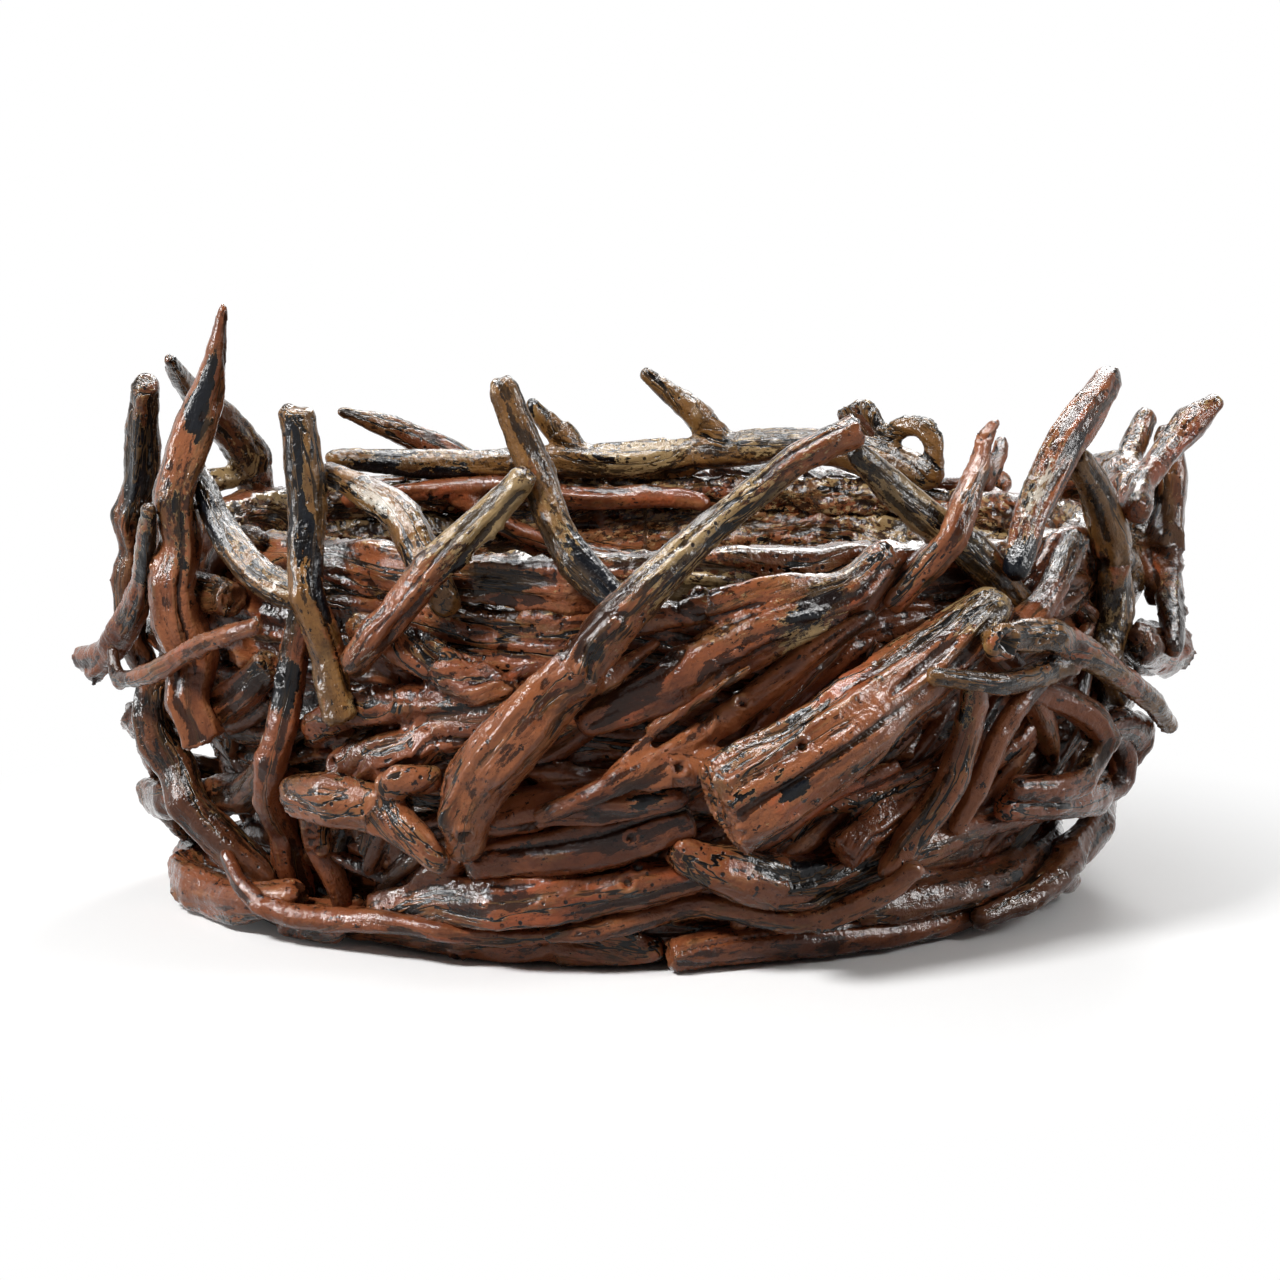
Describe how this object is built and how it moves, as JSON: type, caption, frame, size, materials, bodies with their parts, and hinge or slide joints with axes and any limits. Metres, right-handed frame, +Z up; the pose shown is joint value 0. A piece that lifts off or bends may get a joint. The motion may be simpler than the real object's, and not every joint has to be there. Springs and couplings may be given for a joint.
{
  "type": "ceramic bowl",
  "caption": "Oval ceramic bowl: a coil-built wall on a base slab, wrapped in a nest of rolled and carved clay branches under a mottled brown gloss glaze.",
  "frame": {"origin": "centre of the base slab's underside, where the bowl rests", "axes": "+X along the bowl's length, -Y towards its front (the side in the picture), +Z up"},
  "size_m": [0.3943, 0.3504, 0.21],
  "materials": {
    "terracotta_glaze": "gloss glaze over red clay, terracotta brown with dark specks",
    "umber_glaze": "gloss glaze, deep red brown mottled with near-black patches",
    "dark_glaze": "gloss glaze, very dark brown to navy black",
    "olive_glaze": "gloss glaze, olive to ochre brown with fine speckle"
  },
  "bodies": {
    "root": {"base_slab": "umber_glaze", "lower_course": "umber_glaze", "middle_course": "umber_glaze", "upper_course": "umber_glaze", "rim_course": "umber_glaze", "back_ledge": "umber_glaze", "back_rim_log": "olive_glaze", "back_rim_twig": "umber_glaze", "left_wrap_high": "dark_glaze", "left_wrap_mid": "umber_glaze", "left_wrap_low": "dark_glaze", "left_upright": "umber_glaze", "foot_log": "umber_glaze", "keel_log": "umber_glaze", "belly_log": "umber_glaze", "sill_log": "umber_glaze", "knot_log": "umber_glaze", "right_belly_log": "umber_glaze", "right_lower_foot": "dark_glaze", "left_tuck": "umber_glaze", "shield_branch": "umber_glaze", "long_runner": "terracotta_glaze", "rim_twig": "olive_glaze", "leaning_post": "olive_glaze", "left_shoulder": "dark_glaze", "arched_twig": "olive_glaze", "short_prop": "terracotta_glaze", "notched_post": "olive_glaze", "tall_spike": "terracotta_glaze", "left_post": "dark_glaze", "left_outer_twig": "umber_glaze", "hooked_twig": "terracotta_glaze", "curled_foot": "umber_glaze", "foot_twig": "umber_glaze", "great_diagonal": "terracotta_glaze", "diagonal_foot": "terracotta_glaze", "right_runner": "olive_glaze", "squared_peg": "umber_glaze", "thick_limb": "terracotta_glaze", "right_leaner": "terracotta_glaze", "squared_stub": "umber_glaze", "right_post": "terracotta_glaze", "right_rib": "olive_glaze", "side_stub": "dark_glaze", "right_rim_log": "umber_glaze", "right_drop": "dark_glaze", "side_wrap": "umber_glaze", "side_curl": "umber_glaze", "right_outer_foot": "dark_glaze", "long_drop": "terracotta_glaze", "thin_foot_twig": "terracotta_glaze", "right_bracket": "terracotta_glaze", "right_whip": "olive_glaze", "rear_left_cross": "dark_glaze", "back_stub": "dark_glaze", "back_low_runner": "umber_glaze", "back_upper_runner": "dark_glaze", "back_middle_runner": "umber_glaze", "back_brace": "terracotta_glaze", "back_diagonal": "umber_glaze"}
  },
  "joints": []
}
